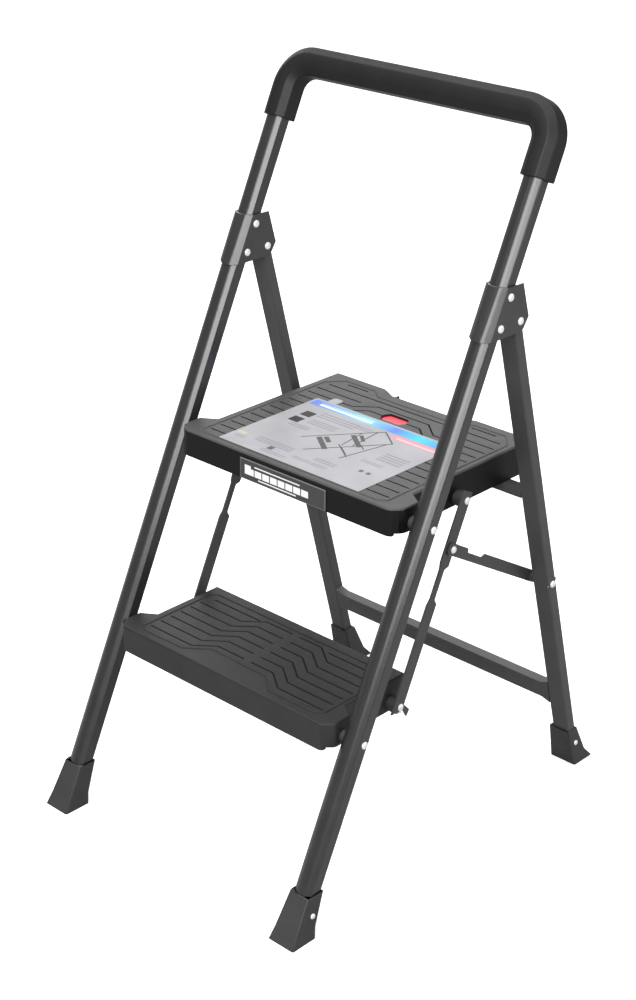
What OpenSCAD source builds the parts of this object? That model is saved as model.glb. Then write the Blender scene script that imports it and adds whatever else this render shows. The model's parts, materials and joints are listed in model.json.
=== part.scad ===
/* [Front frame] */
// Lean of the front frame from the vertical, degrees
front_lean = 25.4; // [22:0.1:29]
// Distance between the centres of the two uprights
upright_spacing = 389.9; // [320:0.1:480]
// Length along the front frame from the floor to the centre of the hoop's top bar
handrail_reach = 957; // [850:1:1150]
// Radius of the hoop's bends, at the tube's centre
bend_r = 34; // [30:1:60]

/* [Upright tube] */
// Width of the tube, side to side
tube_w = 25.4; // [22:0.1:32]
// Depth from the tube's axis forward to its crest
tube_front = 13; // [11:0.5:18]
// Depth from the tube's axis back to its flat rear face
tube_back = 7; // [6:0.5:10]
// Thickness of the tube walls
tube_wall = 1.5; // [1:0.1:2]

/* [Steps] */
// Height of the top step's upper face
top_step_z = 461.2; // [420:0.1:520]
// Height of the lower step's upper face
low_step_z = 233.4; // [200:0.1:250]
// Depth of the top step behind its pivot
top_step_back = 239; // [200:1:260]
// Depth of the lower step behind its pivot
low_step_back = 126; // [120:1:150]
// Depth of both steps in front of their pivots
step_nose = 26.5; // [24:0.5:32]
// Height of each step's upper face above its pivot
step_rise = 20.7; // [18:0.1:25]
// Depth of a step's side skirt below its upper face
side_skirt = 40; // [34:0.5:48]
// Depth of a step's front skirt below its upper face
front_skirt = 34; // [26:0.5:40]
// Thickness of the step walls and deck
step_wall = 3; // [2:0.1:4]
// Gap between the wide front of a step and the upright beside it
step_side_gap = 5.9; // [4:0.1:9]
// How far the rear of a step is set in from its wide front, each side
step_set_in = 18.9; // [17:0.1:24]

/* [Rear frame] */
// Distance along the front frame from the floor to the rear leg pivots
hinge_along = 734.5; // [680:0.5:800]
// Distance of the rear leg pivots behind the upright's axis
hinge_back = 31.4; // [28:0.1:40]
// Lean of the rear legs from the vertical, degrees
rear_lean = 15; // [12:0.1:20]
// Width of the rear leg tube
leg_w = 24.4; // [20:0.1:24.4]
// Depth of the rear leg tube
leg_d = 15; // [12:0.5:18]
// Height of the lower rear crossbar's centre above the floor
low_bar_z = 109.5; // [80:0.5:150]
// Height of the lower rear crossbar
low_bar_h = 25.5; // [18:0.5:40]
// Depth of both rear crossbars
bar_d = 12; // [8:0.5:13]
// Height of the upper rear crossbar
top_bar_h = 13.6; // [10:0.1:20]

/* [Linkage] */
// Distance of the link bar's pivot behind the step's pivot
link_back = 101.5; // [90:0.5:110]
// Distance of the link bar's pivot below the step's pivot
link_drop = 9.6; // [8:0.1:11]
// Thickness of the link and spreader bars
strap_t = 2.6; // [2:0.1:3]
// Width of the link bar
link_w = 17; // [15:0.5:20]
// Distance down the link bar from its top pivot to the spreader's pivot
spreader_down = 58.4; // [50:0.1:70]
// Height above the floor of the spreader's pivot on the rear leg
spreader_rear_z = 286.9; // [250:0.5:320]
// Width of the spreader bar
spreader_w = 14.6; // [12:0.2:18]

/* [Grip and feet] */
// Thickness of the grip around the hoop
grip_wall = 4.4; // [3:0.1:6]
// Length of the grip's sleeve down each upright, from the hoop's top centre
grip_sleeve = 72; // [60:1:120]
// Height of the foot boots
boot_h = 53; // [45:1:65]
// Width of the foot boots at the floor
boot_w = 39; // [34:0.5:46]
// Distance from the upright's foot forward to the toe of the front boot
boot_toe = 20.6; // [18:0.1:28]

/* [Latch and trim] */
// Width of the release button
button_w = 37; // [30:1:50]
// Depth of the release button
button_d = 20; // [18:1:26]
// Distance of the button's centre behind the top step's pivot
button_back = 171.2; // [168:0.1:173]
// Travel of the release button
button_travel = 5; // [3:0.5:6]
// Width of the label on the top step
label_w = 224.5; // [160:0.5:240]
// Length of the label, front to back
label_l = 173; // [120:1:174]
// Width of the badge plate on the top step's front skirt
badge_w = 137; // [90:1:160]
// Height of the badge plate
badge_h = 26; // [18:0.5:28]

/* [Hidden] */

$fn = 48;

// Clearances
moving_gap = 0.3;     // between faces of pieces that move past each other
running_fit = 0.06;   // radial, between a rivet shank and the hole that turns on it
slip = 0.15;          // between a tube and the sleeve or boot pushed over it

// Rivets
rivet_r = 3;
rivet_head_r = 4.6;
rivet_head_t = 2;
foot_head_r = 3.4;    // the smaller heads in the boots

// Upright section
tube_side = 8;        // forward edge of the flat sides
tube_ridge = 6.5;     // half-width of the crowned front face
tube_corner = 1.5;
tube_start = 11;      // the tube's lower end, inside the boot
side_x = upright_spacing / 2;

// Brackets
bracket_gap = tube_w / 2 + 0.5;
bracket_wall = 2.4;
bracket_top = 44;     // height of the bracket's top edge above the hinge pivot
bracket_bottom = 13;  // depth of its bottom edge below the pivot

// Rear legs
leg_wall = 1.5;
leg_corner = 3;
leg_x = side_x - bracket_gap + moving_gap + 0.05 + leg_w / 2;
leg_top = 9;
leg_inner = leg_x - leg_w / 2;

// The Y of the uprights' feet puts the origin under the middle of the whole footprint
function front_point(back, along) = [
    back * cos(front_lean) + along * sin(front_lean),
    along * cos(front_lean) - back * sin(front_lean)
];
hinge_rel = front_point(hinge_back, hinge_along);
rear_foot_rel = hinge_rel[0] + hinge_rel[1] * tan(rear_lean);
boot_heel = 26.5;
foot_y = -(rear_foot_rel + boot_heel - boot_toe) / 2;
hinge = [hinge_rel[0] + foot_y, hinge_rel[1]];
rear_foot_y = rear_foot_rel + foot_y;
leg_end = 10;
mouth_depth = 7;      // depth of the widened mouth of each boot
mouth_gap = 0.9;      // gap between the tube and the widened mouth
leg_len = hinge[1] / cos(rear_lean) - leg_end;

// Steps
top_pivot_along = (top_step_z - step_rise) / cos(front_lean);
low_pivot_along = (low_step_z - step_rise) / cos(front_lean);
top_pivot = [foot_y + top_pivot_along * sin(front_lean), top_step_z - step_rise];
low_pivot = [foot_y + low_pivot_along * sin(front_lean), low_step_z - step_rise];
wide_x = side_x - tube_w / 2 - step_side_gap;
narrow_x = wide_x - step_set_in;
facet = 12.5;
jog_start = 11.5;
jog_end = 24;
corner_skirt = 30.4;    // depth of the skirt at the two front corners
corner_skirt_x = wide_x - 9.5;
rear_skirt = 34;
rib_depth = 20;
recess_outer = 73;
recess_inner = 52;
recess_depth = 11;

// Linkage, from the tread side outwards
link_out = wide_x - 4.25;
link_in = link_out - strap_t;
spacer_end = link_in - moving_gap;
spreader_in = link_out + moving_gap;
spreader_out = spreader_in + strap_t;
spacer_r = 9.5;
top_link = [top_pivot[0] + link_back, top_pivot[1] - link_drop];
low_link = [low_pivot[0] + link_back, low_pivot[1] - link_drop];
link_len = norm(top_link - low_link);
spreader_front = [
    top_link[0] - spreader_down * sin(front_lean),
    top_link[1] - spreader_down * cos(front_lean)
];
spreader_rear = [rear_foot_y - spreader_rear_z * tan(rear_lean), spreader_rear_z];
spreader_len = norm(spreader_rear - spreader_front);
spreader_angle = atan2(spreader_rear[1] - spreader_front[1], spreader_rear[0] - spreader_front[0]);

// Crossbars
top_bar_top = top_step_z - side_skirt - moving_gap;
top_bar_z = top_bar_top - top_bar_h / 2;
top_bar_front = rear_foot_y - top_bar_z * tan(rear_lean) - leg_d / 2 / cos(rear_lean) + 1;

// Latch
button_recess = 2.5;
button_t = 9;
housing_wall = 2.5;
rocker_gap = 0.4;
rocker_w = 12;
rocker_pin_r = 2.5;
rocker_z = top_step_z - step_wall - button_recess - button_t - 3.5;
hook_gap = 0.5;
hook_rear = top_bar_front + bar_d + hook_gap;
rocker_pin_y = top_bar_front - 4;
rocker_arm = rocker_pin_y - top_pivot[0] - button_back + 0.5;
spring_r = 3.5;
spring_wire = 0.5;
spring_turns = 5;

// Placing

module in_front_frame() {
    translate([0, foot_y, 0])
        rotate([-front_lean, 0, 0])
            children();
}

module in_rear_frame() {
    translate([0, hinge[0], hinge[1]])
        rotate([rear_lean, 0, 0])
            children();
}

module at(point) {
    translate([0, point[0], point[1]])
        children();
}

module both_sides() {
    children();
    mirror([1, 0, 0])
        children();
}

// A round bar along +X from x0 to x1
module bar_x(r, x0, x1) {
    translate([x0, 0, 0])
        rotate([0, 90, 0])
            cylinder(r = r, h = x1 - x0);
}

// A rivet along +X: its shank fills x0 to x1 and a head stands outside each end
module rivet(x0, x1) {
    bar_x(rivet_r, x0 - rivet_head_t / 2, x1 + rivet_head_t / 2);
    rivet_head(x1, 1);
    rivet_head(x0, -1);
}

module rivet_head(x, side, r = rivet_head_r) {
    translate([x, 0, 0])
        rotate([0, 90 * side, 0])
            rotate_extrude()
                polygon([[0, 0], [r, 0], [r, 0.8],
                         [r - 1.4, rivet_head_t], [0, rivet_head_t]]);
}

// Front frame

module tube_outline(grow = 0) {
    w = tube_w / 2 + grow;
    back = tube_back + grow;
    side = tube_side + grow * 0.4;
    ridge = tube_ridge + grow * 0.4;
    shoulder = tube_front - 1 + grow;
    polygon([
        [-w, back - tube_corner], [-w + tube_corner, back],
        [w - tube_corner, back], [w, back - tube_corner],
        [w, -side], [ridge, -shoulder], [0, -tube_front - grow],
        [-ridge, -shoulder], [-w, -side]
    ]);
}

module upright() {
    difference() {
        in_front_frame()
            translate([side_x, 0, tube_start])
                linear_extrude(handrail_reach - grip_sleeve + 4 - tube_start)
                    difference() {
                        tube_outline();
                        tube_outline(-tube_wall);
                    }
        for (p = [top_pivot, low_pivot])
            at(p) bar_x(rivet_r, side_x - tube_w, side_x + tube_w);
        for (p = bracket_rivet_points)
            at(p) bar_x(rivet_r, side_x - tube_w, side_x + tube_w);
        at(front_foot_rivet) bar_x(rivet_r, side_x, side_x + tube_w);
    }
}

module upright_left() {
    color("#242424")
        mirror([1, 0, 0]) upright();
}

module upright_right() {
    color("#242424")
        upright();
}

// The bent top of the front frame: two stubs, two bends and the top bar
module hoop_sweep(grow, stub) {
    bar_half = side_x - bend_r;
    translate([0, 0, handrail_reach]) {
        rotate([0, 90, 0])
            translate([0, 0, -bar_half])
                linear_extrude(2 * bar_half)
                    tube_outline(grow);
        both_sides() {
            translate([side_x, 0, -bend_r - stub])
                linear_extrude(stub)
                    tube_outline(grow);
            translate([bar_half, 0, -bend_r])
                rotate([90, 0, 0])
                    rotate_extrude(angle = 90)
                        translate([bend_r, 0]) mirror([0, 1]) tube_outline(grow);
        }
    }
}

module handrail_hoop() {
    color("#242424")
        in_front_frame()
            difference() {
                hoop_sweep(0, grip_sleeve - bend_r - 4);
                hoop_sweep(-tube_wall, grip_sleeve);
            }
}

module handrail_grip() {
    color("#1c1c1c")
        in_front_frame()
            difference() {
                hoop_sweep(grip_wall, grip_sleeve - bend_r);
                hoop_sweep(slip, grip_sleeve);
            }
}

// Brackets: a U-shaped wrap round the front of the upright, with two ears to the rear

bracket_rivet_points = [for (along = [20.5, -15.5]) [
    foot_y + (hinge_along + along) * sin(front_lean),
    (hinge_along + along) * cos(front_lean)
]];

module bracket_side() {
    wrap = tube_front + 2 + bracket_wall;
    front_low = front_point(-wrap, hinge_along - 38);
    polygon([
        [hinge[0] - 13 - wrap, hinge[1] + bracket_top],
        [hinge[0] + 3, hinge[1] + bracket_top - 1],
        [hinge[0] + 15, hinge[1] + 2.3],
        [hinge[0] + 6, hinge[1] - bracket_bottom + 2],
        [hinge[0] - 4, hinge[1] - bracket_bottom],
        [front_low[0] + foot_y - 20, hinge[1] - bracket_bottom],
        [front_low[0] + foot_y - 20, hinge[1] + bracket_top]
    ]);
}

module bracket() {
    difference() {
        intersection() {
            translate([side_x, 0, 0])
                rotate([90, 0, 90])
                    translate([0, 0, -tube_w])
                        linear_extrude(2 * tube_w)
                            bracket_side();
            in_front_frame()
                translate([side_x, 0, hinge_along - 70])
                    linear_extrude(140)
                        difference() {
                            bracket_section(bracket_wall + bracket_gap - tube_w / 2, 60);
                            bracket_section(bracket_gap - tube_w / 2, 61);
                        }
        }
        for (p = concat(bracket_rivet_points, [hinge]))
            at(p) bar_x(rivet_r, side_x - tube_w, side_x + tube_w);
    }
}

// The tube's own outline, grown, and run out to the rear
module bracket_section(grow, back) {
    w = tube_w / 2 + grow;
    polygon([
        [w, back], [w, -tube_side - grow * 0.4],
        [tube_ridge + grow * 0.4, -tube_front + 1 - grow], [0, -tube_front - grow],
        [-tube_ridge - grow * 0.4, -tube_front + 1 - grow],
        [-w, -tube_side - grow * 0.4], [-w, back]
    ]);
}

module hinge_bracket_left() {
    color("#3a3a3c")
        mirror([1, 0, 0]) bracket();
}

module hinge_bracket_right() {
    color("#3a3a3c")
        bracket();
}

module bracket_rivets() {
    half = bracket_gap + bracket_wall;
    color("silver")
        both_sides()
            for (p = bracket_rivet_points)
                at(p) rivet(side_x - half, side_x + half);
}

module hinge_pivot_rivets() {
    half = bracket_gap + bracket_wall;
    color("silver")
        both_sides()
            at(hinge) rivet(side_x - half, side_x + half);
}

// Step pivots

module step_pivot_rivets() {
    color("silver")
        both_sides()
            for (p = [top_pivot, low_pivot])
                at(p) rivet(wide_x - step_wall - moving_gap, side_x + tube_w / 2);
}

module step_pivot_bushes() {
    color("dimgray")
        both_sides()
            for (p = [top_pivot, low_pivot])
                at(p)
                    difference() {
                        bar_x(8, wide_x + moving_gap, side_x - tube_w / 2);
                        bar_x(rivet_r, wide_x, side_x);
                    }
}

// Feet

front_foot_rivet = [foot_y + 14, 30];
rear_foot_rivet = [rear_foot_y - 8.5, 32.4];

// A level slab of a boot, between y0 and y1
module boot_slab(z, half, y0, y1, corner) {
    translate([0, 0, z])
        linear_extrude(0.5)
            polygon([
                [-half + corner, y0], [half - corner, y0], [half, y0 + corner],
                [half, y1 - corner], [half - corner, y1],
                [-half + corner, y1], [-half, y1 - corner], [-half, y0 + corner]
            ]);
}

module front_foot() {
    mouth = boot_h * tan(front_lean);
    knee = 14;
    knee_y = knee * tan(front_lean);
    difference() {
        translate([side_x, foot_y, 0]) {
            hull() {
                boot_slab(boot_h - 0.5, tube_w / 2 + 2, mouth - 15.6, mouth + 9.6, 1.5);
                boot_slab(knee, boot_w / 2 - 1.8, knee_y - 18.5, knee_y + 12.5, 1.5);
            }
            hull() {
                boot_slab(knee, boot_w / 2 - 1.8, knee_y - 18.5, knee_y + 12.5, 1.5);
                boot_slab(0, boot_w / 2, -boot_toe, 16.7, 1.5);
            }
        }
        in_front_frame()
            translate([side_x, 0, tube_start])
                linear_extrude(2 * boot_h)
                    tube_outline(slip);
        in_front_frame()
            translate([side_x, 0, boot_h / cos(front_lean) - mouth_depth])
                linear_extrude(boot_h)
                    tube_outline(mouth_gap);
        at(front_foot_rivet) bar_x(rivet_r, side_x, side_x + boot_w);
    }
}

module front_foot_left() {
    color("#2c2c2c")
        mirror([1, 0, 0]) front_foot();
}

module front_foot_right() {
    color("#2c2c2c")
        front_foot();
}

module foot_rivet(x0, x1, r = rivet_head_r) {
    bar_x(rivet_r, x0, x1);
    rivet_head(x1, 1, r);
}

module front_foot_rivets() {
    color("silver")
        both_sides()
            at(front_foot_rivet)
                foot_rivet(side_x + tube_w / 2 - tube_wall - 2, side_x + boot_w / 2 - 2.6, foot_head_r);
}

module rear_foot() {
    mouth = -boot_h * tan(rear_lean);
    knee = 14;
    knee_y = -knee * tan(rear_lean);
    difference() {
        translate([leg_x - 1.4, rear_foot_y, 0]) {
            hull() {
                boot_slab(boot_h - 0.5, leg_w / 2 + 3, mouth - 10, mouth + 10, 1.5);
                boot_slab(knee, boot_w / 2 - 1.8, knee_y - 11, knee_y + 17, 1.5);
            }
            hull() {
                boot_slab(knee, boot_w / 2 - 1.8, knee_y - 11, knee_y + 17, 1.5);
                boot_slab(0, boot_w / 2, -10.4, boot_heel, 1.5);
            }
        }
        in_rear_frame()
            translate([leg_x, 0, -leg_len])
                linear_extrude(leg_len)
                    leg_outline(slip);
        in_rear_frame()
            translate([leg_x, 0, (boot_h - hinge[1]) / cos(rear_lean) - mouth_depth])
                linear_extrude(boot_h)
                    leg_outline(mouth_gap);
        at(rear_foot_rivet) bar_x(rivet_r, leg_x, leg_x + boot_w);
    }
}

module rear_foot_left() {
    color("#2c2c2c")
        mirror([1, 0, 0]) rear_foot();
}

module rear_foot_right() {
    color("#2c2c2c")
        rear_foot();
}

module rear_foot_rivets() {
    color("silver")
        both_sides()
            at(rear_foot_rivet)
                foot_rivet(leg_x + leg_w / 2 - leg_wall - 2, leg_x - 1.4 + boot_w / 2 - 2.5, foot_head_r);
}

// Rear frame

module leg_outline(grow = 0) {
    w = leg_w / 2 + grow;
    d = leg_d / 2 + grow;
    c = leg_corner / 2;
    polygon([
        [-w + c, -d], [w - c, -d], [w, -d + c], [w, d - c],
        [w - c, d], [-w + c, d], [-w, d - c], [-w, -d + c]
    ]);
}

module rear_leg() {
    difference() {
        in_rear_frame()
            translate([leg_x, 0, -leg_len])
                linear_extrude(leg_len + leg_top)
                    difference() {
                        leg_outline();
                        leg_outline(-leg_wall);
                    }
        at(hinge) bar_x(rivet_r + running_fit, leg_x - leg_w, leg_x + leg_w);
        at(spreader_rear) bar_x(rivet_r, leg_x - leg_w, leg_x + leg_w);
        at(rear_foot_rivet) bar_x(rivet_r, leg_x, leg_x + leg_w);
    }
}

module rear_leg_left() {
    color("#3c3c3c")
        mirror([1, 0, 0]) rear_leg();
}

module rear_leg_right() {
    color("#3c3c3c")
        rear_leg();
}

module rear_upper_crossbar() {
    color("#333333")
        translate([-leg_inner, top_bar_front, top_bar_z - top_bar_h / 2])
            difference() {
                cube([2 * leg_inner, bar_d, top_bar_h]);
                translate([-1, 1.5, 1.5])
                    cube([2 * leg_inner + 2, bar_d - 3, top_bar_h - 3]);
            }
}

// A channel with its web to the front and its ends flared into the legs
module rear_lower_crossbar() {
    bar_along = (hinge[1] - low_bar_z) / cos(rear_lean);
    h = low_bar_h;
    flare = 12;
    web = 2;
    color("#333333")
        in_rear_frame()
            translate([0, -leg_d / 2, -bar_along])
                difference() {
                    rotate([90, 0, 0])
                        translate([0, 0, -bar_d])
                            linear_extrude(bar_d)
                                polygon([
                                    [-leg_inner, h / 2 + 5], [-leg_inner + flare, h / 2],
                                    [leg_inner - flare, h / 2], [leg_inner, h / 2 + 5],
                                    [leg_inner, -h / 2 - 5], [leg_inner - flare, -h / 2],
                                    [-leg_inner + flare, -h / 2], [-leg_inner, -h / 2 - 5]
                                ]);
                    translate([-leg_inner - 1, web, -h / 2 + web])
                        cube([2 * leg_inner + 2, bar_d, h - 2 * web]);
                    translate([-leg_inner + 2 * flare, -1, h / 6])
                        cube([2 * leg_inner - 4 * flare, 1.8, 3]);
                }
}

module spreader_bushes() {
    color("dimgray")
        both_sides()
            at(spreader_rear)
                difference() {
                    bar_x(6.5, spreader_out + moving_gap, leg_inner);
                    bar_x(rivet_r, spreader_out, leg_inner + 1);
                }
}

module spreader_rear_rivets() {
    color("silver")
        both_sides()
            at(spreader_rear)
                foot_rivet(spreader_out + moving_gap, leg_x + leg_w / 2);
}

// Steps, drawn about their pivots: +Y to the rear, Z = 0 at the pivot

// Outline of a step seen from above, set in by i all round
function half_outline(back, i) = [
    [wide_x - facet - 0.414 * i, -step_nose + i],
    [wide_x - i, -step_nose + facet + 0.414 * i],
    [wide_x - i, jog_start - i],
    [narrow_x - i, jog_end - i],
    [narrow_x - i, back - i]
];
function recess_outline(back, i) = [
    [recess_outer - i / 2, back - i],
    [recess_inner - i / 2, back - recess_depth - i]
];
function mirrored(points) = [for (k = [len(points) - 1:-1:0]) [-points[k][0], points[k][1]]];
function full_outline(half) = concat(half, mirrored(half));

module step_shell(outline, inner, back) {
    difference() {
        translate([0, 0, step_rise - side_skirt])
            linear_extrude(side_skirt)
                polygon(outline);
        translate([0, 0, step_rise - side_skirt - 1])
            linear_extrude(side_skirt + 1 - step_wall)
                polygon(inner);
        translate([-wide_x - 1, -step_nose - 1, step_rise - side_skirt - 1])
            cube([2 * wide_x + 2, step_nose + 1 + jog_end - step_wall, side_skirt + 1 - front_skirt]);
        both_sides()
            translate([corner_skirt_x, -step_nose - 1, step_rise - side_skirt - 1])
                cube([20, step_nose + 1 + jog_end, side_skirt + 1 - corner_skirt]);
        translate([-narrow_x + step_wall, back - 20, step_rise - side_skirt - 1])
            cube([2 * (narrow_x - step_wall), 21, side_skirt + 1 - rear_skirt]);
        both_sides() {
            bar_x(rivet_r + running_fit, wide_x - 10, wide_x + 1);
            at([link_back, -link_drop]) bar_x(rivet_r, narrow_x - 10, narrow_x + 1);
        }
    }
}

// Ribs under the deck, from y0 to y1 at each x
module step_ribs(xs, y0, y1) {
    for (x = xs)
        translate([x - 1.25, y0, step_rise - step_wall - rib_depth])
            cube([2.5, y1 - y0, rib_depth + 0.5]);
}

module button_outline(grow = 0) {
    w = button_w / 2 + grow;
    d = button_d / 2 + grow;
    cx = 4.5 + grow * 0.7;
    cy = 7.5 + grow * 0.4;
    polygon([
        [-w + cx, -d], [w - cx, -d], [w, -d + cy], [w, d - cy],
        [w - cx, d], [-w + cx, d], [-w, d - cy], [-w, -d + cy]
    ]);
}

module top_step_tread() {
    half = full_outline(concat(half_outline(top_step_back, 0), recess_outline(top_step_back, 0)));
    inner = full_outline(concat(half_outline(top_step_back, step_wall), recess_outline(top_step_back, step_wall)));
    color("#4b4b4b")
        at(top_pivot) {
            difference() {
                step_shell(half, inner, top_step_back);
                translate([0, button_back, step_rise - step_wall - 1])
                    linear_extrude(step_wall + 2)
                        button_outline(rocker_gap);
            }
            step_ribs([-125, -88, -50, 50, 88, 125], -step_nose + step_wall - 0.5,
                      top_step_back - step_wall + 0.5);
        }
}

module lower_step_tread() {
    outline = full_outline(half_outline(low_step_back, 0));
    inner = full_outline(half_outline(low_step_back, step_wall));
    color("#4b4b4b")
        at(low_pivot) {
            step_shell(outline, inner, low_step_back);
            step_ribs([-125, -88, -50, 0, 50, 88, 125], -step_nose + step_wall - 0.5,
                      low_step_back - step_wall + 0.5);
        }
}

module front_badge() {
    color("#2a2a2c")
        at(top_pivot)
            translate([2 - badge_w / 2, -step_nose - 1.5, step_rise - front_skirt + 0.9])
                cube([badge_w, 1.5, badge_h]);
}

module step_label() {
    color("lightsteelblue")
        at(top_pivot)
            translate([-2.2 - label_w / 2, -17, step_rise])
                cube([label_w, label_l, 0.5]);
}

module link_spacers(pivot) {
    both_sides()
        at(pivot)
            difference() {
                bar_x(spacer_r, narrow_x, spacer_end);
                bar_x(rivet_r, narrow_x - 1, spacer_end + 1);
            }
}

module top_link_spacers() {
    color("dimgray") link_spacers(top_link);
}

module lower_link_spacers() {
    color("dimgray") link_spacers(low_link);
}

module link_rivets(pivot) {
    both_sides()
        at(pivot) rivet(narrow_x - step_wall, link_out + moving_gap);
}

module top_link_rivets() {
    color("silver") link_rivets(top_link);
}

module lower_link_rivets() {
    color("silver") link_rivets(low_link);
}

// Latch under the top step

module latch_housing() {
    w = button_w / 2 + 2;
    d = button_d / 2 + 2;
    floor_z = rocker_z - button_travel - 6;
    top_z = top_step_z - step_wall;
    pin_ear = rocker_w / 2 + rocker_gap;
    color("#303030")
        difference() {
            translate([0, 0, floor_z]) {
                translate([-w - housing_wall, top_pivot[0] + button_back - d - housing_wall, 0])
                    cube([2 * (w + housing_wall), 2 * (d + housing_wall), top_z - floor_z]);
                both_sides()
                    translate([pin_ear, top_pivot[0] + button_back + d, 0])
                        cube([housing_wall, rocker_pin_y - top_pivot[0] - button_back - d + 5, top_z - floor_z]);
            }
            translate([-w, top_pivot[0] + button_back - d, floor_z + housing_wall])
                cube([2 * w, 2 * d, top_z]);
            translate([-pin_ear, top_pivot[0] + button_back, floor_z - 1])
                cube([2 * pin_ear, 2 * d, top_z - floor_z + 2]);
            at([rocker_pin_y, rocker_z]) bar_x(rocker_pin_r, -w - 5, w + 5);
        }
}

module latch_pin() {
    half = rocker_w / 2 + rocker_gap + housing_wall;
    color("silver")
        at([rocker_pin_y, rocker_z]) bar_x(rocker_pin_r, -half, half);
}

// The button's foot stands over the end of the rocker's arm
module latch_button() {
    color("#e03038") {
        translate([0, top_pivot[0] + button_back, top_step_z - button_recess - button_t])
            linear_extrude(button_t)
                button_outline();
        translate([-3, rocker_pin_y - rocker_arm, rocker_z + 3.2])
            cube([6, 4, top_step_z - button_recess - button_t - rocker_z - 3]);
    }
}

module latch_rocker() {
    nose_z = top_bar_z - top_bar_h / 2 - 4;
    over = top_bar_top + 3;
    color("#b8282e")
        difference() {
            translate([-rocker_w / 2, 0, 0])
                rotate([90, 0, 90])
                    linear_extrude(rocker_w)
                        polygon([
                            [rocker_pin_y - rocker_arm, rocker_z - 1.5],
                            [rocker_pin_y - rocker_arm, rocker_z + 1.5],
                            [rocker_pin_y - 5.5, rocker_z + 2.4],
                            [rocker_pin_y, rocker_z + 4.5],
                            [hook_rear + 5, rocker_z + 2],
                            [hook_rear + 5, nose_z],
                            [hook_rear, nose_z],
                            [hook_rear, over],
                            [rocker_pin_y, max(rocker_z - 4.5, over)]
                        ]);
            at([rocker_pin_y, rocker_z]) bar_x(rocker_pin_r + running_fit, -rocker_w, rocker_w);
        }
}

// Coil spring: a wire of six sides swept up a helix
function spring_point(k, steps, h) = [
    spring_r * cos(360 * spring_turns * k / steps),
    spring_r * sin(360 * spring_turns * k / steps),
    spring_wire + (h - 2 * spring_wire) * k / steps
];

module latch_spring() {
    base = rocker_z - button_travel - 6 + housing_wall;
    h = top_step_z - button_recess - button_t - base;
    steps = spring_turns * 12;
    sides = 6;
    points = [for (k = [0:steps]) for (s = [0:sides - 1])
        let (p = spring_point(k, steps, h), a = 360 * spring_turns * k / steps, b = 360 * s / sides)
        [p[0] + spring_wire * cos(b) * cos(a), p[1] + spring_wire * cos(b) * sin(a), p[2] + spring_wire * sin(b)]];
    side_faces = [for (k = [0:steps - 1]) for (s = [0:sides - 1])
        [k * sides + s, k * sides + (s + 1) % sides, (k + 1) * sides + (s + 1) % sides, (k + 1) * sides + s]];
    start_face = [[for (s = [sides - 1:-1:0]) s]];
    end_face = [[for (s = [0:sides - 1]) steps * sides + s]];
    color("silver")
        translate([0, top_pivot[0] + button_back - 5.5, base])
            polyhedron(points, concat(side_faces, start_face, end_face));
}

// Link bars and spreaders

// Outline in the bar's own plane: X runs to the rear, Y up the bar, origin at the top pivot
module link_outline() {
    front = -link_w + 6.2;
    rear = 6.2;
    foot = -link_len - 5 / cos(front_lean);
    cut = tan(front_lean);
    polygon([
        [front, 11], [rear, 11],
        [rear, -spreader_down - 21], [0.2, -spreader_down - 26],
        [0.2, -spreader_down - 62], [rear, -spreader_down - 67],
        [rear, foot + 9], [rear + 13, foot + 4], [rear + 12, foot - 5], [rear, foot + rear * cut],
        [front, foot + front * cut],
        [front, -spreader_down - 70], [front + 2.5, -spreader_down - 62],
        [front + 2.5, -spreader_down - 26], [front, -spreader_down - 18]
    ]);
}

module link_bar() {
    difference() {
        translate([link_in, top_link[0], top_link[1]])
            rotate([-front_lean, 0, 0])
                rotate([90, 0, 90])
                    linear_extrude(strap_t)
                        link_outline();
        at(top_link) bar_x(rivet_r + running_fit, link_in - 1, link_out + 1);
        at(low_link) bar_x(rivet_r + running_fit, link_in - 1, link_out + 1);
        at(spreader_front) bar_x(rivet_r, link_in - 1, link_out + 1);
    }
}

module link_bar_left() {
    color("#383838")
        mirror([1, 0, 0]) link_bar();
}

module link_bar_right() {
    color("#383838")
        link_bar();
}

module spreader_front_rivets() {
    color("silver")
        both_sides()
            at(spreader_front) rivet(link_in, spreader_out + moving_gap);
}

// Outline along the bar: X from the front pivot to the rear one
module spreader_outline() {
    h = spreader_w / 2;
    end = 8;
    polygon([
        [-end, -h + 3], [-end, h - 3], [-end + 3, h],
        [29, h], [31.5, h - 5], [62.5, h - 5], [67.5, h],
        [spreader_len + end - 3, h], [spreader_len + end, h - 3],
        [spreader_len + end, -h + 3], [spreader_len + end - 3, -h], [-end + 3, -h]
    ]);
}

module spreader() {
    difference() {
        translate([spreader_in, spreader_front[0], spreader_front[1]])
            rotate([spreader_angle, 0, 0])
                rotate([90, 0, 90])
                    linear_extrude(strap_t)
                        spreader_outline();
        at(spreader_front) bar_x(rivet_r + running_fit, link_in, spreader_out + 1);
        at(spreader_rear) bar_x(rivet_r, link_in, spreader_out + 1);
    }
}

module spreader_left() {
    color("#383838")
        mirror([1, 0, 0]) spreader();
}

module spreader_right() {
    color("#383838")
        spreader();
}

module spreader_end_rivets() {
    color("silver")
        both_sides()
            at(spreader_rear) {
                bar_x(rivet_r, spreader_in, spreader_out);
                rivet_head(spreader_in, -1);
            }
}

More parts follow.
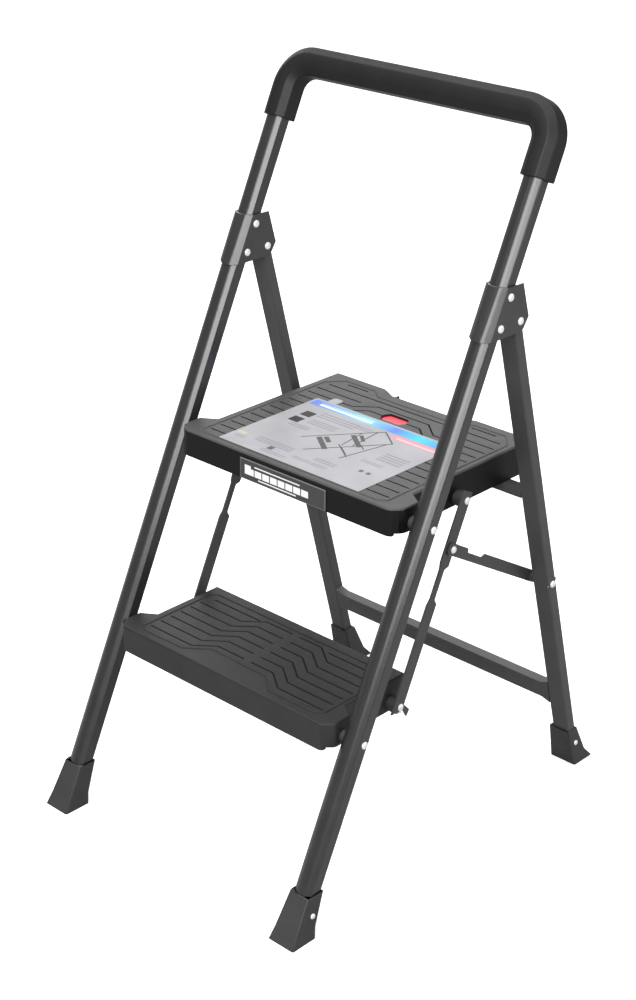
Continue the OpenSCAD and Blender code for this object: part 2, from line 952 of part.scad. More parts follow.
upright_left();
upright_right();
handrail_hoop();
handrail_grip();
hinge_bracket_left();
hinge_bracket_right();
bracket_rivets();
hinge_pivot_rivets();
front_foot_left();
front_foot_right();
front_foot_rivets();
step_pivot_rivets();
step_pivot_bushes();
rear_leg_left();
rear_leg_right();
rear_upper_crossbar();
rear_lower_crossbar();
rear_foot_left();
rear_foot_right();
rear_foot_rivets();
spreader_bushes();
spreader_rear_rivets();
top_step_tread();
front_badge();
step_label();
top_link_spacers();
top_link_rivets();
latch_housing();
latch_pin();
latch_spring();
latch_button();
latch_rocker();
lower_step_tread();
lower_link_spacers();
lower_link_rivets();
link_bar_left();
link_bar_right();
spreader_front_rivets();
spreader_left();
spreader_right();
spreader_end_rivets();
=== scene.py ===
"""Folding two-step stool with a high handrail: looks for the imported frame."""
import json
import math

import bpy
from mathutils import Matrix, Vector


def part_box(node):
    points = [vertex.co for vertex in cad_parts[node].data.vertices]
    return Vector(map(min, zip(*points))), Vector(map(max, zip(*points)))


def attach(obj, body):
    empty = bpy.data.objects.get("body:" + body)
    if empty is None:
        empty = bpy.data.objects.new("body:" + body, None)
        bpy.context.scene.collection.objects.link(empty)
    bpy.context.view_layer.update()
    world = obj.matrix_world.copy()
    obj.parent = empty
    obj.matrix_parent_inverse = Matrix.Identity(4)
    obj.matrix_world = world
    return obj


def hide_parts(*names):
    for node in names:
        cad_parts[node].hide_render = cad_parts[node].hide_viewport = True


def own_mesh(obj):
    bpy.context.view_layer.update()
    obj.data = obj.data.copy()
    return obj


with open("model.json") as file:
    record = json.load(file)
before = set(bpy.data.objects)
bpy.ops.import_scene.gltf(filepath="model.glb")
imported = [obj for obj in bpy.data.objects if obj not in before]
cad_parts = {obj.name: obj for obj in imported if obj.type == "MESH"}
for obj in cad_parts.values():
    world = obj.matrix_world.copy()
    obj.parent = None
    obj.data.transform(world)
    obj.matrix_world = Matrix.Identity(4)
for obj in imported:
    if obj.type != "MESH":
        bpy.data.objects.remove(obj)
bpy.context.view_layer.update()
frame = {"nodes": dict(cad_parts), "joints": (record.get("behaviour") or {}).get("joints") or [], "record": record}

MM = 0.001  # the frame is in metres; sizes below are in millimetres
record = frame["record"]
body_of = {node: body for body, nodes in record["behaviour"]["bodies"].items() for node in nodes}
slot_of = {part["node"]: part["material_slot"] for part in record["subparts"]}
pivot = {joint["name"]: Vector(joint["pos_m"]) for joint in frame["joints"] if "pos_m" in joint}
top_pivot = pivot["top_step_fold"]
low_pivot = pivot["lower_step_fold"]


# ---------------------------------------------------------------- camera and light

def place_camera():
    """A camera in front of the stool, to its right and above it."""
    azimuth, elevation, roll = math.radians(43.126), math.radians(25.019), math.radians(0.355)
    target = Vector((-0.129, 0.12075, 0.3102))
    distance = 2.4999
    back = Vector((
        math.sin(azimuth) * math.cos(elevation),
        -math.cos(azimuth) * math.cos(elevation),
        math.sin(elevation),
    ))
    right = Vector((math.cos(azimuth), math.sin(azimuth), 0))
    up = back.cross(right)
    side = right * math.cos(roll) + up * math.sin(roll)
    top = up * math.cos(roll) - right * math.sin(roll)
    data = bpy.data.cameras.new("camera")
    data.sensor_fit = "VERTICAL"
    data.sensor_height = 24
    data.lens = 46.37
    data.clip_end = 50
    camera = bpy.data.objects.new("camera", data)
    bpy.context.scene.collection.objects.link(camera)
    spot = target + back * distance
    turn = Matrix((side, top, back)).transposed()
    camera.matrix_world = Matrix.Translation(spot) @ turn.to_4x4()
    bpy.context.scene.camera = camera


def hang_lamp(name, data, direction):
    """Links a lamp that shines along a direction."""
    lamp = bpy.data.objects.new(name, data)
    bpy.context.scene.collection.objects.link(lamp)
    lamp.rotation_euler = Vector(direction).to_track_quat("-Z", "Y").to_euler()
    return lamp


def soft_box(name, spot, size, watts):
    """A rectangular light that faces the middle of the stool."""
    middle = Vector((0, 0, 0.45))
    data = bpy.data.lights.new(name, "AREA")
    data.shape = "RECTANGLE"
    data.size, data.size_y = size
    data.energy = watts
    hang_lamp(name, data, middle - Vector(spot)).location = spot


def studio_world():
    """Dim light from all round, behind a backdrop that the camera sees as white."""
    world = bpy.data.worlds.new("studio")
    world.use_nodes = True
    tree = world.node_tree
    room = tree.nodes["Background"]
    room.inputs["Color"].default_value = (1, 1, 1, 1)
    room.inputs["Strength"].default_value = 0.22
    backdrop = tree.nodes.new("ShaderNodeBackground")
    backdrop.inputs["Color"].default_value = (1, 1, 1, 1)
    seen = tree.nodes.new("ShaderNodeLightPath").outputs["Is Camera Ray"]
    choice = tree.nodes.new("ShaderNodeMixShader")
    tree.links.new(seen, choice.inputs["Fac"])
    tree.links.new(room.outputs["Background"], choice.inputs[1])
    tree.links.new(backdrop.outputs["Background"], choice.inputs[2])
    tree.links.new(choice.outputs["Shader"], tree.nodes["World Output"].inputs["Surface"])
    bpy.context.scene.world = world


def light_the_set():
    """A wide overhead light, a tall box in front that draws the tubes' highlights, two fills."""
    studio_world()
    overhead = bpy.data.lights.new("wide_overhead", "SUN")
    overhead.energy = 2.6
    overhead.angle = math.radians(80)
    hang_lamp("wide_overhead", overhead, (0.16, 0.10, -1))
    soft_box("front_box", (0.90, -2.22, 1.95), (1.9, 1.7), 72)
    soft_box("side_box", (2.6, 0.9, 1.3), (1.5, 1.5), 30)
    soft_box("rear_box", (-1.9, 2.0, 1.75), (2.4, 2.0), 24)
    bpy.context.scene.view_settings.view_transform = "Standard"
    bpy.context.scene.view_settings.look = "None"


# ---------------------------------------------------------------- shader maths

class Wire:
    """A shader socket that adds Math nodes when it is used in an expression."""

    def __init__(self, tree, socket):
        self.tree = tree
        self.socket = socket

    def node(self, kind, settings, inputs, output=0):
        """Any node: its type, its settings, and the values or wires of its sockets."""
        new = self.tree.nodes.new(kind)
        for name, value in settings.items():
            if name == "stops":
                while len(new.color_ramp.elements) < len(value):
                    new.color_ramp.elements.new(0.5)
                for element, (place, colour) in zip(new.color_ramp.elements, value):
                    element.position = place
                    element.color = colour
            else:
                setattr(new, name, value)
        for name, value in inputs.items():
            if isinstance(value, Wire):
                self.tree.links.new(value.socket, new.inputs[name])
            else:
                new.inputs[name].default_value = value
        return Wire(self.tree, new.outputs[output])

    def maths(self, operation, first, second=0.0):
        return self.node("ShaderNodeMath", {"operation": operation}, {0: first, 1: second})

    def __add__(self, other):
        return self.maths("ADD", self, other)

    def __radd__(self, other):
        return self.maths("ADD", other, self)

    def __sub__(self, other):
        return self.maths("SUBTRACT", self, other)

    def __rsub__(self, other):
        return self.maths("SUBTRACT", other, self)

    def __mul__(self, other):
        return self.maths("MULTIPLY", self, other)

    def __rmul__(self, other):
        return self.maths("MULTIPLY", other, self)

    def __gt__(self, other):
        return self.maths("GREATER_THAN", self, other)

    def __lt__(self, other):
        return self.maths("LESS_THAN", self, other)

    def largest(self, other):
        return self.maths("MAXIMUM", self, other)

    def wave(self):
        return self.maths("SINE", self)

    def mix(self, first, second):
        """Colour first where this mask is 0, and second where it is 1."""
        factor, colour_a, colour_b, colour_out = 0, 6, 7, 2
        inputs = {factor: self}
        for socket, colour in ((colour_a, first), (colour_b, second)):
            inputs[socket] = colour if isinstance(colour, Wire) else (*colour, 1)
        return self.node("ShaderNodeMix", {"data_type": "RGBA"}, inputs, colour_out)

    def noise(self, scale, detail=2.0, stretch=(1, 1, 1)):
        """Noise over this place, finer along the axes with a larger stretch."""
        spread = self.node("ShaderNodeVectorMath", {"operation": "MULTIPLY"}, {0: self, 1: stretch})
        inputs = {"Vector": spread, "Scale": scale, "Detail": detail}
        return self.node("ShaderNodeTexNoise", {}, inputs)

    def axis(self, letter):
        return self.node("ShaderNodeSeparateXYZ", {}, {0: self}, "XYZ".index(letter))

    def bump(self, strength, distance):
        inputs = {"Height": self, "Strength": strength, "Distance": distance}
        return self.node("ShaderNodeBump", {}, inputs)


# ---------------------------------------------------------------- finishes

GRAIN_DEPTH = 0.0004  # metres, for the bump of every moulded or painted surface


def new_finish(name):
    """A new material, its shader, and the place on the piece that its patterns follow."""
    material = bpy.data.materials.new(name)
    material.use_nodes = True
    tree = material.node_tree
    shader = tree.nodes["Principled BSDF"]
    where = tree.nodes.new("ShaderNodeTexCoord")
    return material, shader, Wire(tree, where.outputs["Object"])


def join(shader, name, wire):
    """Feeds a socket of the shader from a wire."""
    wire.tree.links.new(wire.socket, shader.inputs[name])


def grey(value):
    """A dark grey, very slightly blue."""
    return (value, value, value * 1.02)


def moulded(name, dark, light, rough, grain, grain_scale=1400, blotch=30, metallic=0.0):
    """Painted metal or moulded plastic: blotches of tone, fine grain, faint scuffs."""
    material, shader, place = new_finish(name)
    scuff = (place.noise(260, 4, (1, 1, 0.12)) > 0.70) * 0.35
    join(shader, "Base Color", (place.noise(blotch, 3) + scuff).mix(dark, light))
    join(shader, "Roughness", rough + (place.noise(blotch * 2.5, 4) - 0.5) * 0.10)
    join(shader, "Normal", place.noise(grain_scale, 3).bump(grain, GRAIN_DEPTH))
    shader.inputs["Metallic"].default_value = metallic
    return material, shader


def tread_finish(name, node, panel, side):
    """Charcoal plastic: deck and skirt in separate tones of painted light and shade, painted shade in the grooves.
    """
    low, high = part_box(node)
    material, shader, place = new_finish(name)
    x, y, z = place.axis("X"), place.axis("Y"), place.axis("Z")
    worn = (place.noise(210, 4, (1, 0.2, 1)) > 0.66) * 0.3
    tone = place.noise(26, 3) + worn
    # painted light and shade: the skirt and the deck each get their own grey, set per tread by how the light falls
    # on that step
    skirt = tone.mix(grey(side), grey(side * 1.4))
    deck_light_shade_tone = tone.mix(grey(panel), grey(panel * 1.45))
    deck = (z > high.z - 2.2 * MM).mix(skirt, deck_light_shade_tone)
    ends, edges = 24 * MM, 7 * MM
    grooved = between(x, low.x + ends, high.x - ends) * between(y, low.y + edges, high.y - edges)
    # painted shade: the colour drops to near black where the carved grooves lie, shade drawn into the recesses
    groove = between(z, high.z - 1.9 * MM, high.z - 0.25 * MM) * grooved
    join(shader, "Base Color", groove.mix(deck, grey(0.008)))
    join(shader, "Roughness", 0.46 + groove * 0.4 + (place.noise(70, 4) - 0.5) * 0.12)
    join(shader, "Normal", place.noise(1300, 3).bump(0.4, GRAIN_DEPTH))
    shader.inputs["Specular IOR Level"].default_value = 0.28
    return material


def make_finishes():
    """Every finish, by material slot; the two treads have their own, by node."""
    recipes = {
        "frame_black": ("tube_powder_coat", grey(0.016), grey(0.028), 0.30, 0.18, 1900),
        "grip_plastic": ("grip_moulding", grey(0.008), grey(0.013), 0.44, 0.30, 2200),
        "bracket_plastic": ("bracket_moulding", grey(0.020), grey(0.034), 0.33, 0.25, 2000),
        "rear_frame_grey": ("leg_powder_coat", grey(0.046), grey(0.066), 0.40, 0.25, 1700),
        "boot_rubber": ("boot_rubber", grey(0.024), grey(0.042), 0.50, 0.45, 1500),
        "bush_plastic": ("bush_plastic", grey(0.03), grey(0.05), 0.5, 0.3),
        "latch_plastic": ("latch_plastic", grey(0.02), grey(0.03), 0.5, 0.3),
        "rivet_steel": (
            "rivet_plate", (0.90, 0.90, 0.89), (0.98, 0.98, 0.97), 0.38, 0.15, 2500, 400, 0.3,
        ),
        "spring_steel": (
            "spring_wire", (0.5, 0.5, 0.5), (0.7, 0.7, 0.7), 0.3, 0.1, 2500, 400, 1.0,
        ),
        "button_red": (
            "button_plastic", (0.75, 0.035, 0.06), (0.90, 0.075, 0.11), 0.42, 0.2, 1800, 60,
        ),
    }
    made, shaders = {}, {}
    for slot, recipe in recipes.items():
        made[slot], shaders[slot] = moulded(*recipe)
    for slot, weight, rough in (("frame_black", 0.7, 0.20), ("bracket_plastic", 0.6, 0.24)):
        shaders[slot].inputs["Coat Weight"].default_value = weight
        shaders[slot].inputs["Coat Roughness"].default_value = rough
    shaders["grip_plastic"].inputs["Specular IOR Level"].default_value = 0.32
    # one plastic in painted lit and shaded copies: a painted lit deck over a painted shaded skirt on the top step,
    # and a painted shaded deck under the top step on the lower one
    made["top_step_tread"] = tread_finish("top_tread_plastic", "top_step_tread", 0.052, 0.003)
    made["lower_step_tread"] = tread_finish(
        "lower_tread_plastic", "lower_step_tread", 0.016, 0.026
    )
    made["label_print"] = printed_card()
    made["badge_plate"] = badge_print()
    return made


def between(wire, low, high):
    """A mask that is 1 where a value lies between two others."""
    return (wire > low) * (wire < high)


def patch(u, v, left, right, front, rear):
    """A mask that is 1 inside a rectangle of the card."""
    return between(u, left, right) * between(v, front, rear)


def bars(u, v, left, right, front, rear, rows, fill=0.5):
    """A block of plain bars, like lines of print without letters."""
    pitch = (rear - front) / rows
    phase = ((v - front) * (2 * math.pi / pitch)).wave()
    return patch(u, v, left, right, front, rear) * (phase > math.cos(math.pi * fill))


def stroke(u, v, start, end, half):
    """A mask that is 1 along a straight line between two places on the card."""
    run = (end[0] - start[0], end[1] - start[1])
    length = math.hypot(*run)
    ahead = (run[0] / length, run[1] / length)
    along = (u - start[0]) * ahead[0] + (v - start[1]) * ahead[1]
    across = (u - start[0]) * ahead[1] - (v - start[1]) * ahead[0]
    return between(along, 0, length) * between(across, -half, half)


def card_band(u, v, wide, deep, card):
    """A blue band with a pale bar along the rear, and a red bar in front of it."""
    shades = u.node(
        "ShaderNodeValToRGB",
        {"stops": [
            (0.0, (0.10, 0.16, 0.62, 1)), (0.28, (0.14, 0.42, 0.72, 1)),
            (0.42, (0.20, 0.58, 0.78, 1)), (0.62, (0.08, 0.20, 0.70, 1)),
            (0.80, (0.05, 0.55, 0.85, 1)), (1.0, (0.07, 0.15, 0.62, 1)),
        ]},
        {0: u * (1 / wide)},
    )
    card = patch(u, v, 4, wide, deep - 20, deep - 4).mix(card, shades)
    pale_bar = bars(u, v, 18, 104, deep - 16, deep - 8, 1, 0.7)
    card = pale_bar.mix(card, (0.72, 0.80, 0.92))
    card = patch(u, v, 150, wide - 3, deep - 33, deep - 22).mix(card, (0.78, 0.25, 0.30))
    pink_bar = bars(u, v, 156, wide - 9, deep - 30, deep - 25, 1, 0.6)
    return pink_bar.mix(card, (0.85, 0.55, 0.58))


def card_blocks(u, v, card):
    """Blocks of plain bars in grey, and small plain squares."""
    print_grey, black, ink = (0.15, 0.15, 0.19), (0.010, 0.008, 0.012), (0.10, 0.10, 0.13)
    for left, right, front, rear, rows in (
        (40, 100, 128, 146, 3), (44, 88, 106, 122, 3), (30, 62, 88, 98, 2),
        (96, 122, 134, 144, 2), (34, 92, 26, 40, 3), (104, 156, 18, 26, 2),
        (178, 214, 82, 106, 4), (168, 200, 66, 74, 2), (8, 24, 18, 26, 2),
        (60, 100, 8, 16, 2), (126, 160, 30, 40, 2),
    ):
        card = (bars(u, v, left, right, front, rear, rows) * 0.55).mix(card, print_grey)
    for left, right, front, rear, colour in (
        (20, 36, 98, 113, black), (20, 36, 119, 134, black), (64, 72, 16, 25, (0.09, 0.09, 0.14)),
        (186, 192, 42, 48, ink), (197, 203, 42, 48, ink), (4, 16, 28, 34, (0.50, 0.42, 0.30)),
    ):
        card = patch(u, v, left, right, front, rear).mix(card, colour)
    return card


def card_drawing(u, v, card):
    """A small line drawing of a folding stool: two frames, stays and two steps."""
    drawing = None
    for start, end, half in (
        ((70, 70), (134, 150), 1.0), ((98, 44), (164, 128), 1.0), ((134, 150), (164, 128), 1.0),
        ((128, 144), (133, 92), 0.9), ((160, 122), (146, 54), 0.9), ((116, 128), (122, 84), 0.8),
        ((150, 62), (118, 84), 0.8), ((140, 100), (150, 92), 0.8),
        ((86, 84), (116, 62), 3.4), ((92, 90), (106, 80), 3.0), ((112, 116), (142, 94), 3.2),
        ((120, 122), (134, 110), 2.4), ((126, 80), (146, 66), 0.7),
    ):
        line = stroke(u, v, start, end, half)
        drawing = line if drawing is None else drawing.largest(line)
    return drawing.mix(card, (0.06, 0.06, 0.065))


def printed_card():
    """White card: blue band along the rear, red bar under it, plain bars, a line drawing."""
    material, shader, place = new_finish("printed_card")
    low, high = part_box("step_label")
    u = (place.axis("X") - low.x) * (1 / MM)
    v = (place.axis("Y") - low.y) * (1 / MM)
    wide = (high.x - low.x) / MM
    deep = (high.y - low.y) / MM
    card = place.noise(22, 3).mix((0.29, 0.29, 0.31), (0.40, 0.40, 0.42))
    card = card_band(u, v, wide, deep, card)
    card = card_drawing(u, v, card_blocks(u, v, card))
    join(shader, "Base Color", card)
    join(shader, "Roughness", 0.38 + place.noise(60, 2) * 0.12)
    join(shader, "Normal", place.noise(9, 2).bump(0.25, 0.004))
    shader.inputs["Specular IOR Level"].default_value = 0.25
    return material


def badge_print():
    """Dark plate with a thin pale outline and plain white blocks."""
    material, shader, place = new_finish("badge_print")
    low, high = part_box("front_badge")
    u = (place.axis("X") - low.x) * (1 / MM)
    v = (place.axis("Z") - low.z) * (1 / MM)
    wide = (high.x - low.x) / MM
    tall = (high.z - low.z) / MM
    outline, block_pitch = 1.0, 12.5
    inside = patch(u, v, outline, wide - outline, outline, tall - outline)
    plate = place.noise(300, 3).mix((0.040, 0.040, 0.042), (0.055, 0.055, 0.058))
    gaps = ((u - 8) * (2 * math.pi / block_pitch)).wave() < 0.93
    mark = patch(u, v, 8, wide - 26, tall * 0.28, tall * 0.60) * gaps
    for left, right, bottom, top in (
        (8, 18, 0.28, 0.74), (24, wide - 40, 0.72, 0.78), (30, wide - 46, 0.14, 0.20),
    ):
        mark = mark.largest(patch(u, v, left, right, tall * bottom, tall * top))
    colour = mark.mix(inside.mix((0.16, 0.16, 0.165), plate), (0.88, 0.88, 0.88))
    join(shader, "Base Color", colour)
    join(shader, "Roughness", 0.34 + place.noise(200, 3) * 0.1)
    return material


# ---------------------------------------------------------------- modelling

def select_only(*pieces):
    """Selects these pieces and nothing else; the first is the active one."""
    bpy.ops.object.select_all(action="DESELECT")
    for piece in pieces:
        piece.select_set(True)
    bpy.context.view_layer.objects.active = pieces[0]


def settle(piece):
    """Puts a piece's place into its mesh."""
    select_only(piece)
    bpy.ops.object.transform_apply(location=True, rotation=True, scale=True)


def edit(piece, mode="EDGE"):
    """Opens a piece in edit mode with nothing selected."""
    select_only(piece)
    bpy.ops.object.mode_set(mode="EDIT")
    bpy.ops.mesh.select_mode(type=mode)
    bpy.ops.mesh.select_all(action="DESELECT")


def done():
    """Leaves edit mode."""
    bpy.ops.object.mode_set(mode="OBJECT")


def clear_selection(mesh):
    """Deselects a mesh, which is not in edit mode."""
    for group in (mesh.vertices, mesh.edges, mesh.polygons):
        group.foreach_set("select", [False] * len(group))


def pick_faces(piece, wanted):
    """Selects the faces whose centre, normal and area satisfy wanted."""
    done()
    clear_selection(piece.data)
    for face in piece.data.polygons:
        face.select = wanted(face.center, face.normal, face.area)
    bpy.ops.object.mode_set(mode="EDIT")
    bpy.ops.mesh.select_mode(type="FACE")


def pick_sharp_edges(piece, angle, wanted):
    """Selects edges that turn by more than angle degrees and whose ends satisfy wanted."""
    done()
    mesh = piece.data
    normals = {}
    for face in mesh.polygons:
        for key in face.edge_keys:
            normals.setdefault(key, []).append(face.normal.copy())
    clear_selection(mesh)
    for edge in mesh.edges:
        sides = normals.get(tuple(sorted(edge.vertices)), [])
        if len(sides) != 2 or sides[0].angle(sides[1], 0) < math.radians(angle):
            continue
        a, b = (mesh.vertices[i].co for i in edge.vertices)
        if wanted(a, b):
            edge.select = True
    bpy.ops.object.mode_set(mode="EDIT")
    bpy.ops.mesh.select_mode(type="EDGE")


def modifier(piece, kind, **settings):
    """Adds a modifier and applies it."""
    select_only(piece)
    new = piece.modifiers.new(kind.lower(), kind)
    for name, value in settings.items():
        setattr(new, name, value)
    bpy.ops.object.modifier_apply(modifier=new.name)


def smooth(piece, angle=38):
    """Smooth shading across edges below an angle in degrees, with flat faces kept flat."""
    select_only(piece)
    bpy.ops.object.shade_smooth_by_angle(angle=math.radians(angle))
    modifier(piece, "WEIGHTED_NORMAL", keep_sharp=True)


def copied(node):
    """A merged copy of a CAD node with its flat faces whole again."""
    source = frame["nodes"][node]
    piece = bpy.data.objects.new(node + "_shape", source.data.copy())
    bpy.context.scene.collection.objects.link(piece)
    piece.data.materials.clear()
    edit(piece, "VERT")
    bpy.ops.mesh.select_all(action="SELECT")
    bpy.ops.mesh.remove_doubles(threshold=0.01 * MM)
    bpy.ops.mesh.dissolve_limited(angle_limit=math.radians(0.5))
    done()
    return piece


def soften(piece, width, segments, angle, shortest, wanted=None):
    """Rounds a piece's sharp edges that are longer than shortest; lengths in millimetres."""
    def chosen(a, b):
        return (a - b).length > shortest * MM and (wanted is None or wanted(a, b))

    edit(piece)
    pick_sharp_edges(piece, angle, chosen)
    bpy.ops.mesh.bevel(
        offset=width * MM, segments=segments, profile=0.5, affect="EDGES", clamp_overlap=False
    )
    done()


def hand_over(piece, node, name):
    """The piece takes a CAD node's place, body and finish."""
    piece.name = name
    piece.data.name = name
    piece.data.materials.clear()
    piece.data.materials.append(finishes.get(node) or finishes[slot_of[node]])
    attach(piece, body_of[node])
    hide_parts(node)


def finished_copy(node, name, *roundings, angle=38):
    """A copy of a CAD node that takes its place, with each rounding done in turn."""
    piece = copied(node)
    for rounding in roundings:
        soften(piece, *rounding)
    smooth(piece, angle)
    hand_over(piece, node, name)
    return piece


def wire_path(name, points, radius, sides=1, closed=False):
    """A thin round bar along a path of points, as a mesh."""
    curve = bpy.data.curves.new(name, "CURVE")
    curve.dimensions = "3D"
    curve.bevel_depth = radius
    curve.bevel_resolution = sides
    curve.use_fill_caps = True
    spline = curve.splines.new("POLY")
    spline.use_cyclic_u = closed
    spline.points.add(len(points) - 1)
    for target, point in zip(spline.points, points):
        target.co = (*point, 1)
    piece = bpy.data.objects.new(name, curve)
    bpy.context.scene.collection.objects.link(piece)
    select_only(piece)
    bpy.ops.object.convert(target="MESH")
    return bpy.context.view_layer.objects.active


def joined(pieces):
    """Joins pieces into the first of them."""
    select_only(*pieces)
    bpy.ops.object.join()
    return bpy.context.view_layer.objects.active


def carve(piece, cutter):
    """Cuts the cutter's shape out of a piece."""
    modifier(piece, "BOOLEAN", operation="DIFFERENCE", solver="EXACT", object=cutter)
    bpy.data.objects.remove(cutter)


# ---------------------------------------------------------------- treads

def jogged_line(y, left, right, jog_left, jog_right, jog, middle_gap=None):
    """Paths of one groove line: two outer runs joined to a middle run that steps back."""
    first = [(left, y), (jog_left[0], y), (jog_left[1], y + jog)]
    last = [(jog_right[0], y + jog), (jog_right[1], y), (right, y)]
    if middle_gap is None:
        return [first + last]
    return [first + [(middle_gap[0], y + jog)], [(middle_gap[1], y + jog)] + last]


def low_step_lines():
    """Grooves of the lower deck: six broken, jogged rows and a short row at the rear."""
    lines = []
    for row in range(6):
        lines += jogged_line(-2 + 16.6 * row, -141, 146, (-69, -44), (47, 75), 20.5, (-1, 11))
    return lines + [[(-132, 97.6), (-52, 97.6)], [(62, 97.6), (140, 97.6)]]


def top_step_lines():
    """Grooves of the top deck: eleven jogged rows, then shorter ones round the button."""
    lines = []
    for row in range(11):
        lines += jogged_line(-3.2 + 16.9 * row, -141, 145, (-66, -40), (41, 66), 21)
    return lines + [
        [(-141, 182.8), (-66, 182.8)], [(66, 182.8), (145, 182.8)],
        [(-136, 200.8), (140, 200.8)],
        [(-118, 216), (-84, 216)], [(84, 216), (122, 216)],
    ]


def tread(node, name, where, corner, lines, border):
    """A step: rounded rim, grooves cut into the deck and a raised rim line round them."""
    piece = copied(node)
    low_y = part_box(node)[0].y
    high_x, _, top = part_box(node)[1]
    near = 1 * MM
    groove_radius, groove_sink = 1.35 * MM, 0.3 * MM
    rim_radius, rim_sink = 1.3 * MM, 0.4 * MM

    def button_hole(a, b):
        return max(abs(a.x), abs(b.x)) < 30 * MM and 120 * MM < a.y - where.y < 200 * MM

    def rim(a, b):
        return min(a.z, b.z) > top - 0.1 * MM and not button_hole(a, b)

    def outside(point):
        return abs(point.x) > high_x - near or point.y < low_y + near

    def front_corner(a, b):
        return abs(a.z - b.z) > 20 * MM and max(a.y, b.y) < where.y - 5 * MM and outside(a)

    def on_deck(line, sink):
        return [(x * MM, where.y + y * MM, top - sink) for x, y in line]

    soften(piece, corner, 5, 25, 20, front_corner)
    soften(piece, 2.6, 4, 30, 0.5, rim)
    cutters = [wire_path("groove", on_deck(line, groove_sink), groove_radius) for line in lines]
    carve(piece, joined(cutters))
    rim_line = wire_path("rim_line", on_deck(border, rim_sink), rim_radius, 2, closed=True)
    piece = joined([piece, rim_line])
    smooth(piece, 30)
    hand_over(piece, node, name)


def make_treads():
    """Both steps; their lines are millimetres right of the middle and behind the pivot."""
    low_border = [
        (-146, 104), (-146, -8), (-136, -15), (-73, -14), (-44, 9), (47, 7), (70, -13),
        (142, -12), (151, -4), (151, 104), (143, 110), (-138, 110),
    ]
    top_border = [
        (-146, 203), (-146, -10), (-138, -17), (138, -17), (149, -10), (149, 203), (131, 224),
        (82, 224), (66, 211), (-62, 211), (-78, 224), (-128, 224),
    ]
    tread("lower_step_tread", "lower_tread", low_pivot, 1.6, low_step_lines(), low_border)
    tread("top_step_tread", "top_tread", top_pivot, 6.0, top_step_lines(), top_border)


# ---------------------------------------------------------------- rivets, tubes, bars

def make_rivets():
    """Each rivet head gets a raised ring and a sunk centre."""
    smallest_head = 18 * MM * MM
    for node in slot_of:
        if not node.endswith("rivets"):
            continue
        piece = copied(node)
        edit(piece, "FACE")
        pick_faces(piece, lambda spot, normal, area: abs(normal.x) > 0.99 and area > smallest_head)
        bpy.ops.mesh.inset(thickness=1.1 * MM, depth=0.25 * MM)
        bpy.ops.mesh.inset(thickness=0.7 * MM, depth=-0.55 * MM)
        done()
        smooth(piece, 60)
        hand_over(piece, node, node.replace("rivets", "domed_rivets"))


def make_side_tubes(side):
    """Upright, rear leg and bracket; the crowned fronts have well rounded corners."""
    foot_low, foot_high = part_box("front_foot_" + side)
    middle = (foot_low.x + foot_high.x) / 2
    tube_crown, bracket_crown = 6.5 * MM, 7.66 * MM

    def at_crown(crown):
        def on_both_ends(a, b):
            return all(abs(abs(end.x - middle) - crown) < 0.25 * MM for end in (a, b))
        return on_both_ends

    finished_copy(
        "upright_" + side, "upright_tube_" + side,
        (2.4, 5, 20, 60, at_crown(tube_crown)), (0.8, 3, 15, 60), angle=25,
    )
    finished_copy("rear_leg_" + side, "rear_leg_tube_" + side, (0.8, 3, 25, 60))
    finished_copy(
        "hinge_bracket_" + side, "bracket_wrap_" + side,
        (3.0, 5, 20, 30, at_crown(bracket_crown)), (0.7, 3, 20, 6),
    )


def make_boot(end, side):
    """A rubber boot: rounded edges, and an underside trimmed flat a hair above the floor."""
    node = f"{end}_foot_{side}"
    boot = copied(node)
    soften(boot, 1.2, 3, 25, 8, lambda a, b: max(a.z, b.z) > 0.5 * MM)
    edit(boot)
    bpy.ops.mesh.select_all(action="SELECT")
    bpy.ops.mesh.bisect(
        plane_co=(0, 0, 0.05 * MM), plane_no=(0, 0, 1), clear_inner=True, use_fill=True
    )
    done()
    smooth(boot)
    hand_over(boot, node, f"{end}_boot_{side}")


def make_frame():
    """Tubes, brackets, boots, flat bars, crossbars and the grip."""
    for side in ("left", "right"):
        make_side_tubes(side)
        for end in ("front", "rear"):
            make_boot(end, side)
        for bar in ("link_bar", "spreader"):
            finished_copy(f"{bar}_{side}", f"{bar}_strap_{side}", (0.35, 2, 25, 3))
    finished_copy("handrail_grip", "grip_moulding", (1.0, 3, 20, 2))
    for node in ("rear_upper_crossbar", "rear_lower_crossbar"):
        finished_copy(node, node.replace("rear_", "rear_frame_"), (0.5, 2, 25, 2))


# ---------------------------------------------------------------- label, badge, button

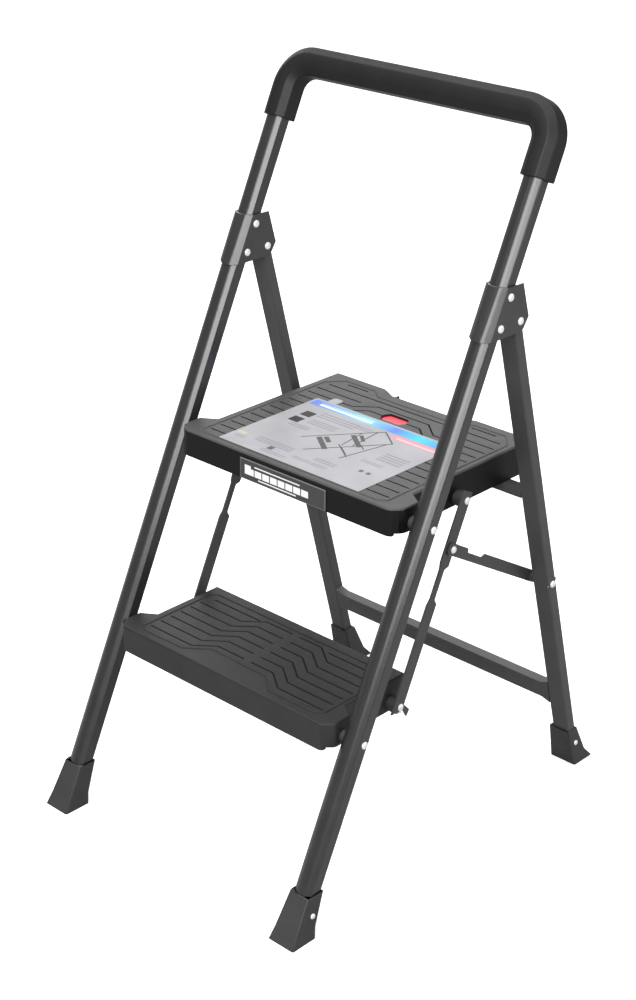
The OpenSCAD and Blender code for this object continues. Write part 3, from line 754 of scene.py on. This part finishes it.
def upright_edge(a, b):
    """Whether an edge stands on the flat of a thin card."""
    return abs(a.z - b.z) > 0.2 * MM


def make_label():
    """A thin card with rounded corners and a small tab at the rear."""
    card = copied("step_label")
    soften(card, 3.0, 4, 40, 0.3, upright_edge)
    low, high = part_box("step_label")
    spot = (low.x + 24 * MM, high.y + 7 * MM, high.z - 0.25 * MM)
    bpy.ops.object.select_all(action="DESELECT")
    bpy.ops.mesh.primitive_cube_add(size=1, location=spot)
    tab = bpy.context.view_layer.objects.active
    tab.scale = (15 * MM, 16 * MM, 0.4 * MM)
    settle(tab)
    soften(tab, 4.0, 4, 40, 0.1, upright_edge)
    card = joined([card, tab])
    smooth(card)
    hand_over(card, "step_label", "printed_label")


def make_button():
    """The release button, and the spring below it, which on the real stool shortens as the button is pressed; here
    it is a still copy on a mesh of its own.
    """
    spring = finished_copy("latch_spring", "button_spring", angle=60)
    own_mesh(spring)
    finished_copy("latch_button", "release_button", (1.0, 3, 30, 5))


def dress_remaining_nodes():
    """CAD nodes whose shape is already right get their finish."""
    for node, solid in frame["nodes"].items():
        if solid.hide_render:
            continue
        solid.data.materials.clear()
        solid.data.materials.append(finishes[slot_of[node]])


def lay_floor():
    """A pale floor: white to the camera, greyer in what it reflects onto the stool."""
    bpy.ops.object.select_all(action="DESELECT")
    bpy.ops.mesh.primitive_plane_add(size=40, location=(0, 0, -0.0005))
    floor = bpy.context.view_layer.objects.active
    floor.name = "studio_floor"
    settle(floor)
    material, shader, place = new_finish("pale_floor")
    seen = place.node("ShaderNodeLightPath", {}, {})
    join(shader, "Base Color", seen.mix((0.30, 0.30, 0.30), (0.96, 0.96, 0.96)))
    join(shader, "Emission Color", seen.mix((0, 0, 0), (1, 1, 1)))
    shader.inputs["Emission Strength"].default_value = 0.45
    shader.inputs["Roughness"].default_value = 0.9
    floor.data.materials.append(material)


place_camera()
light_the_set()
finishes = make_finishes()
make_treads()
make_rivets()
make_frame()
make_label()
finished_copy("front_badge", "skirt_badge", (0.5, 2, 40, 1))
make_button()
dress_remaining_nodes()
lay_floor()

bpy.context.view_layer.update()
